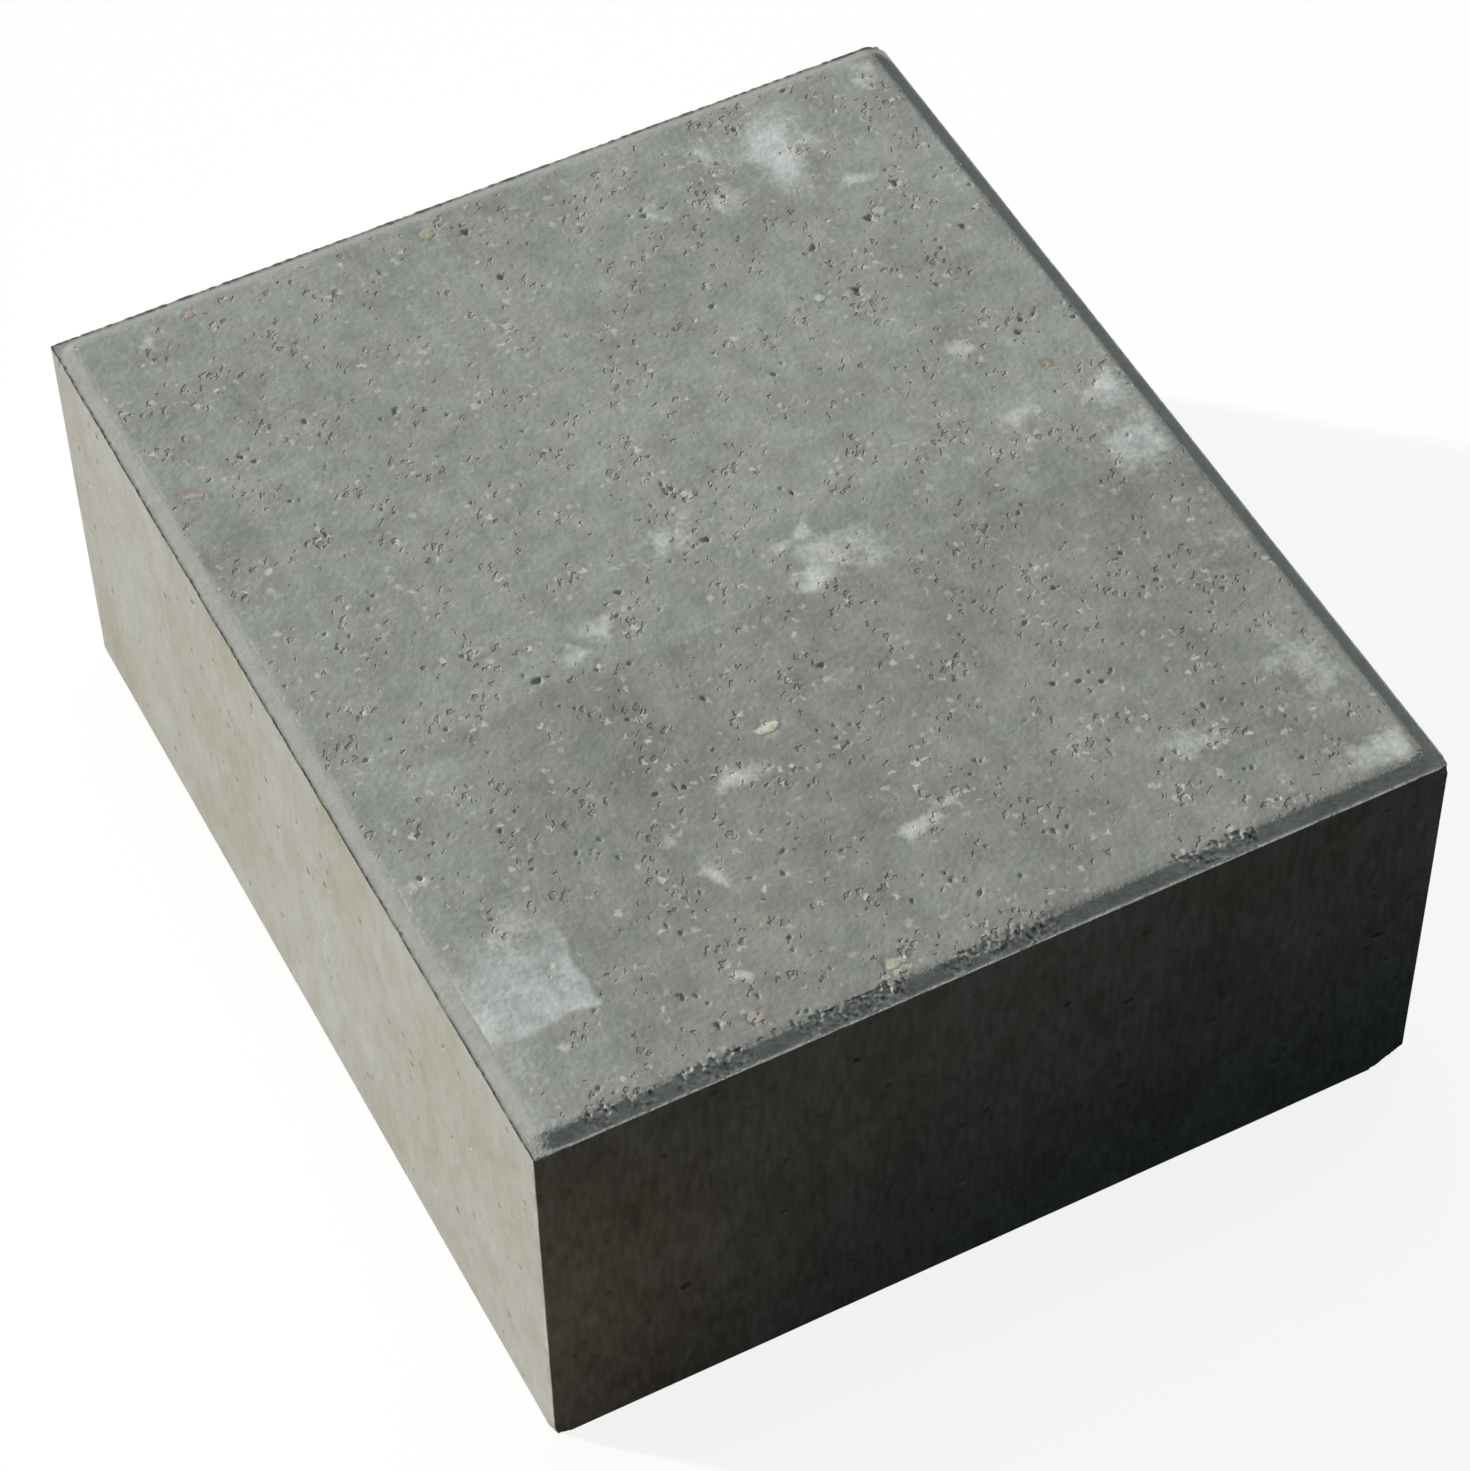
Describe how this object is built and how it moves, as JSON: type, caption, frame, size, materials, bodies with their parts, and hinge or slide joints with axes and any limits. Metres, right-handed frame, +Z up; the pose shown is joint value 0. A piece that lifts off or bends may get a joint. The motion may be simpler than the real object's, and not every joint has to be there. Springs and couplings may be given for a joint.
{
  "type": "concrete block step",
  "caption": "Solid pressed-concrete block step: flat tread with a narrow chamfer and lip all round, upright mould-struck faces and a flat underside.",
  "frame": {"origin": "centre of the underside", "axes": "+X along the riser, +Y from the riser to the back, +Z up to the tread"},
  "size_m": [0.4, 0.34, 0.17],
  "materials": {
    "concrete": "vibration-pressed grey concrete, matt, fine open pores, pale lime bloom in patches"
  },
  "bodies": {
    "root": {"step_block": "concrete"}
  },
  "joints": []
}
